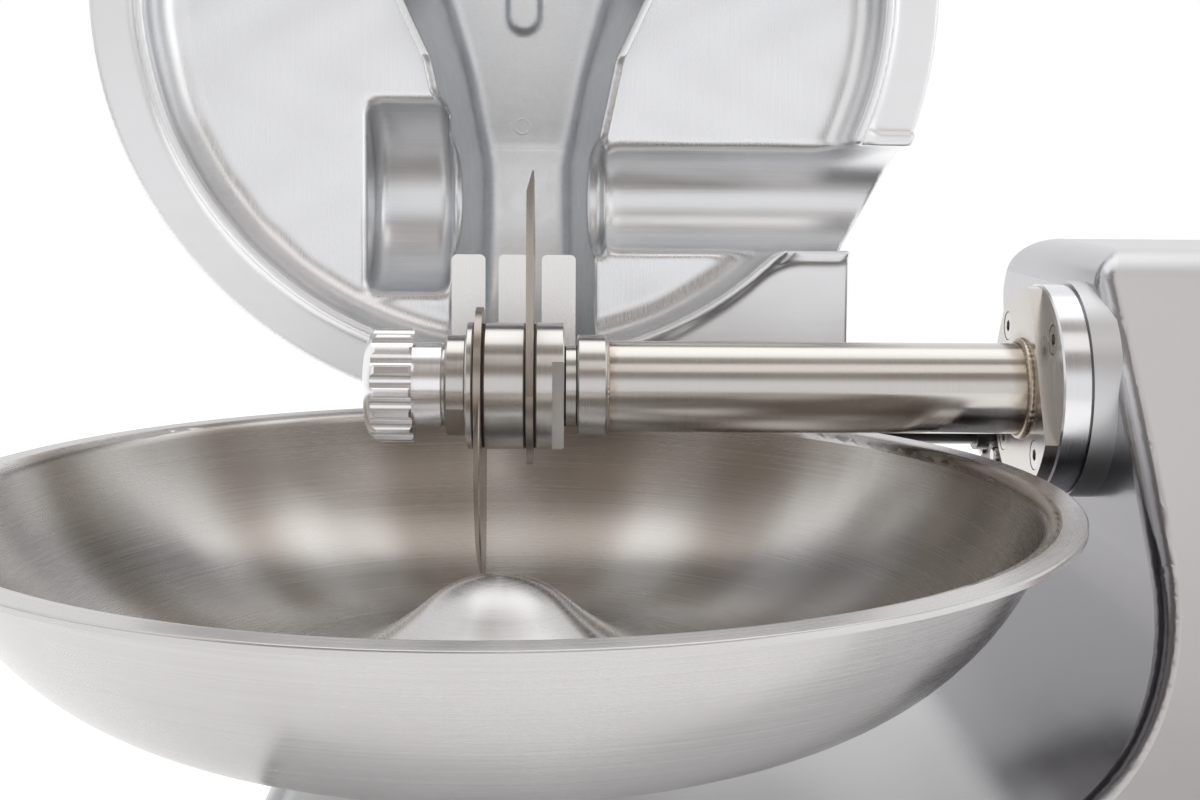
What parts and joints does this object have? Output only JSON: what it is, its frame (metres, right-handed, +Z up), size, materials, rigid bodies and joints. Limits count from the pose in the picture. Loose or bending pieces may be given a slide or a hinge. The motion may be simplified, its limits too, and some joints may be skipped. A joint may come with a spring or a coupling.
{
  "type": "meat bowl cutter",
  "caption": "Bench bowl cutter: a turning bowl under a hinged cast lid, with knives on a horizontal shaft driven from the side housing.",
  "frame": {"origin": "centre of the bounding box at floor level, with the lid open", "axes": "+X from the bowl towards the drive housing, +Y to the back, +Z up"},
  "size_m": [0.7256, 0.624, 0.5544],
  "materials": {
    "housing": "smooth cast aluminium, polished scoop and satin front",
    "steel": "brushed stainless steel",
    "bowl": "turned and brushed stainless steel",
    "lid": "cast aluminium, blasted knife box and polished dish",
    "knife": "ground knife steel",
    "alu": "turned bright aluminium",
    "screw": "bright stainless screws",
    "rubber": "black rubber",
    "iron": "grey painted casting",
    "motor": "dark grey-blue paint",
    "dark_steel": "machined steel",
    "black_plastic": "black moulded plastic",
    "green": "green plastic button",
    "red": "red plastic button",
    "panel": "brushed steel plate"
  },
  "bodies": {
    "machine": {"housing": "housing", "bottom_cover": "steel", "side_cover": "panel", "cover_screws": "screw", "rubber_feet": "rubber", "drive_plate": "dark_steel", "drive_screws": "screw", "motor_body": "motor", "motor_fan_cover": "motor", "bowl_gearbox": "iron", "spindle_seal": "rubber", "shaft_tube": "steel", "tube_end_collar": "steel", "adapter_ring": "alu", "flange_screws": "screw", "shaft_seal": "rubber", "rear_bearing_housing": "iron", "bearing_outer_rings": "dark_steel", "hinge_sleeve": "steel", "safety_switch": "black_plastic", "knife_belt": "rubber", "bowl_belt": "rubber", "control_panel": "panel", "panel_screws": "screw", "button_bezels": "black_plastic", "switch_blocks": "black_plastic", "cable_gland": "black_plastic"},
    "knife_rotor": {"knife_shaft": "dark_steel", "knife_pulley": "alu", "shaft_locknut": "dark_steel", "inner_collar": "steel", "right_knife": "knife", "left_knife": "knife", "knife_spacer": "steel", "end_collar": "steel", "knife_seals": "rubber", "neck_sleeve": "steel", "clamp_nut": "steel", "knob_washer": "steel", "hand_knob": "alu", "bearing_inner_rings": "dark_steel"},
    "motor_rotor": {"motor_shaft": "dark_steel", "motor_pulley": "alu", "motor_fan": "black_plastic"},
    "worm_drive": {"worm_shaft": "dark_steel", "worm_pulley": "alu"},
    "bowl": {"bowl": "bowl", "bowl_hub": "steel", "bowl_carrier": "steel", "bowl_spindle": "steel"},
    "lid": {"lid": "lid", "comb": "steel", "comb_screws": "screw", "lid_handle": "black_plastic", "lid_screws": "screw", "hinge_shaft": "dark_steel", "hinge_cam": "dark_steel"},
    "start_button": {"start_button": "green"},
    "stop_button": {"stop_button": "red"},
    "speed_selector": {"speed_selector": "black_plastic"}
  },
  "joints": [
    {"name": "lid_hinge", "type": "hinge", "parent": "machine", "child": "lid", "pos_m": [0.0672, 0.15097, 0.289], "axis": [1, 0, 0], "range_deg": [0, 94.6]},
    {"name": "knife_spin", "type": "hinge", "parent": "machine", "child": "knife_rotor", "pos_m": [-0.0328, 0.02797, 0.326], "axis": [1, 0, 0], "continuous": true},
    {"name": "motor_spin", "type": "hinge", "parent": "machine", "child": "motor_rotor", "pos_m": [0.1672, 0.08097, 0.105], "axis": [1, 0, 0], "continuous": true},
    {"name": "worm_spin", "type": "hinge", "parent": "machine", "child": "worm_drive", "pos_m": [0.1672, -0.12203, 0.105], "axis": [1, 0, 0], "continuous": true},
    {"name": "bowl_spin", "type": "hinge", "parent": "machine", "child": "bowl", "pos_m": [-0.1328, -0.08403, 0.2], "axis": [0, 0, 1], "continuous": true},
    {"name": "start_press", "type": "slide", "parent": "machine", "child": "start_button", "axis": [0, 0.8192, -0.5736], "range_m": [0, 0.004], "stiffness_N_per_m": 800},
    {"name": "stop_press", "type": "slide", "parent": "machine", "child": "stop_button", "axis": [0, 0.8192, -0.5736], "range_m": [0, 0.004], "stiffness_N_per_m": 800},
    {"name": "selector_turn", "type": "hinge", "parent": "machine", "child": "speed_selector", "pos_m": [0.2532, -0.05611, 0.29477], "axis": [0, -0.8192, 0.5736], "range_deg": [-45, 45]}
  ],
  "couplings": [
    {"joint": "motor_spin", "follows": "knife_spin", "ratio": 0.84547},
    {"joint": "worm_spin", "follows": "knife_spin", "ratio": 0.5194},
    {"joint": "bowl_spin", "follows": "knife_spin", "ratio": 0.017313}
  ]
}
